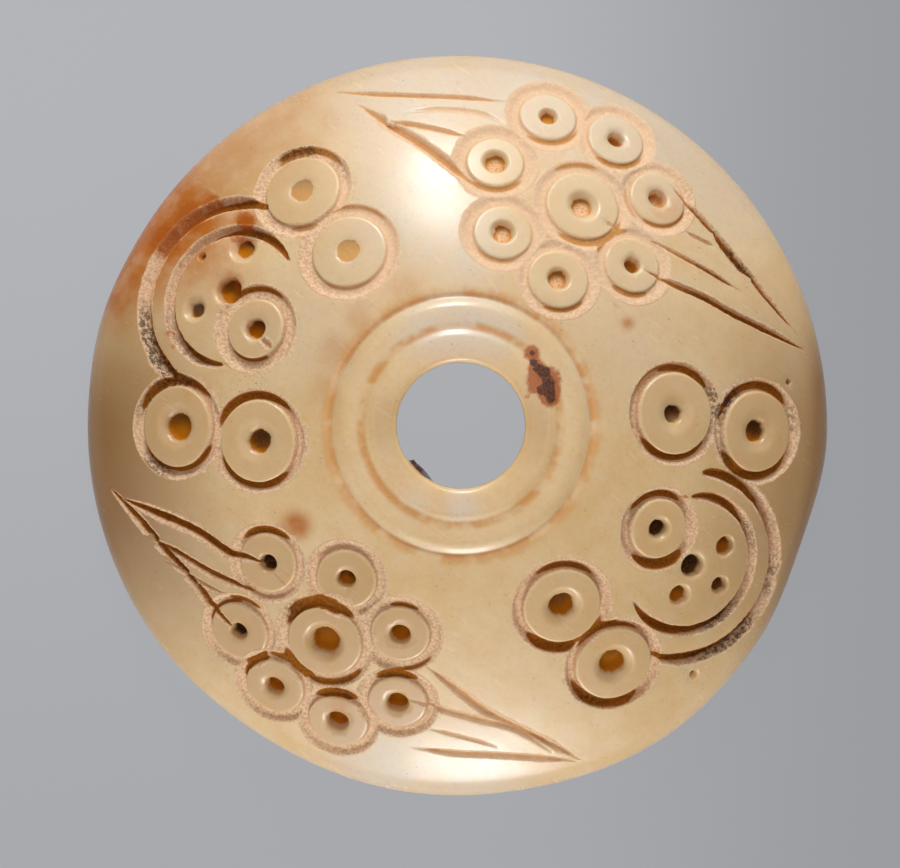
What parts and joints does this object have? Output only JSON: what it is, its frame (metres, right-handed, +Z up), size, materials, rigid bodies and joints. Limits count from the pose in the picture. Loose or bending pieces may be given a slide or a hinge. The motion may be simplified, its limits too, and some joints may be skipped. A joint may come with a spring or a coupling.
{
  "type": "spindle whorl",
  "caption": "Low domed bone spindle whorl with a central spindle hole, a stepped moulding and carved ring-and-dot marks, crescents and scored lines.",
  "frame": {"origin": "centre of the outline's bounding box on the flat underside", "axes": "+Z up through the dome, the underside on z = 0; +Y towards the top of the carved face as it is usually looked at, +X to its right"},
  "size_m": [0.034, 0.034, 0.0088],
  "materials": {
    "bone": "polished old bone, cream to amber, with brown grime in the cuts"
  },
  "bodies": {
    "root": {"whorl": "bone"}
  },
  "joints": []
}
